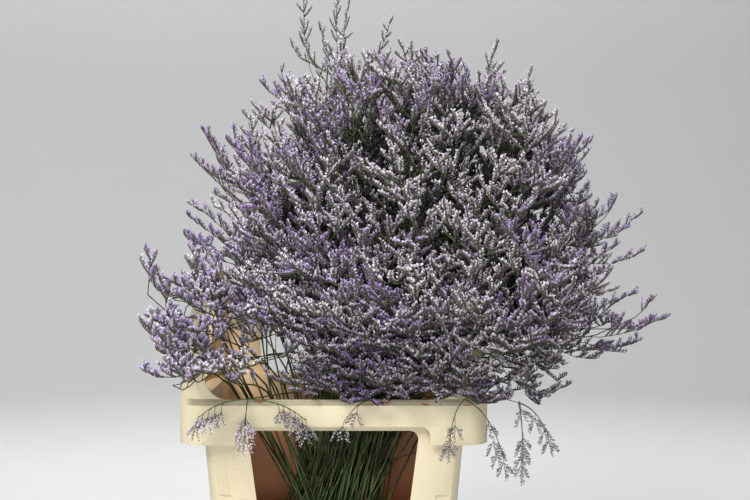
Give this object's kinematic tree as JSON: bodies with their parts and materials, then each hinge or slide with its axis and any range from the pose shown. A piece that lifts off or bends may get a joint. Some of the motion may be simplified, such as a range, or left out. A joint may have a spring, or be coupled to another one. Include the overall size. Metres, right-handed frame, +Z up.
{
  "type": "dried statice",
  "caption": "A bunch of dried statice, lilac and pale flower sprays on thin stems, standing in a cream plastic flower crate with a front window and two arches.",
  "frame": {"origin": "middle of the bucket's flat foot, on the floor it stands on", "axes": "+Z up along the crate and the bunch; -Y out of the crate's long front, the side the picture shows; +X to that front's right"},
  "size_m": [0.698, 0.5674, 0.9182],
  "materials": {
    "cream_plastic": "scuffed moulded plastic, satin",
    "lilac_flowers": "dry papery florets, matte",
    "pale_flowers": "dry papery florets, matte"
  },
  "bodies": {
    "root": {"bucket": "cream_plastic", "collar": "cream_plastic", "spray_01": "pale_flowers", "spray_02": "lilac_flowers", "spray_03": "pale_flowers", "spray_04": "pale_flowers", "spray_05": "lilac_flowers", "spray_06": "pale_flowers", "spray_07": "pale_flowers", "spray_08": "lilac_flowers", "spray_09": "pale_flowers", "spray_10": "pale_flowers", "spray_11": "lilac_flowers", "spray_12": "pale_flowers", "spray_13": "pale_flowers", "spray_14": "lilac_flowers", "spray_15": "pale_flowers", "spray_16": "pale_flowers", "spray_17": "lilac_flowers", "spray_18": "pale_flowers", "spray_19": "pale_flowers", "spray_20": "lilac_flowers", "spray_21": "pale_flowers", "spray_22": "pale_flowers", "spray_23": "lilac_flowers", "spray_24": "pale_flowers", "spray_25": "pale_flowers", "spray_26": "lilac_flowers", "spray_27": "pale_flowers", "spray_28": "pale_flowers", "spray_29": "lilac_flowers", "spray_30": "pale_flowers", "spray_31": "pale_flowers", "spray_32": "lilac_flowers", "spray_33": "pale_flowers", "spray_34": "pale_flowers", "spray_35": "lilac_flowers", "spray_36": "pale_flowers", "spray_37": "pale_flowers", "spray_38": "lilac_flowers", "spray_39": "pale_flowers", "spray_40": "pale_flowers", "spray_41": "lilac_flowers", "spray_42": "pale_flowers", "spray_peak": "lilac_flowers", "spray_left_shoulder": "lilac_flowers", "spray_left_arm": "lilac_flowers", "spray_wing_high": "lilac_flowers", "spray_wing_low": "lilac_flowers", "spray_right_shoulder": "lilac_flowers", "spray_right_arm": "lilac_flowers", "spray_right_low": "lilac_flowers", "spray_hanging_left": "lilac_flowers", "spray_hanging_front": "lilac_flowers", "spray_hanging_right": "lilac_flowers"}
  },
  "joints": []
}
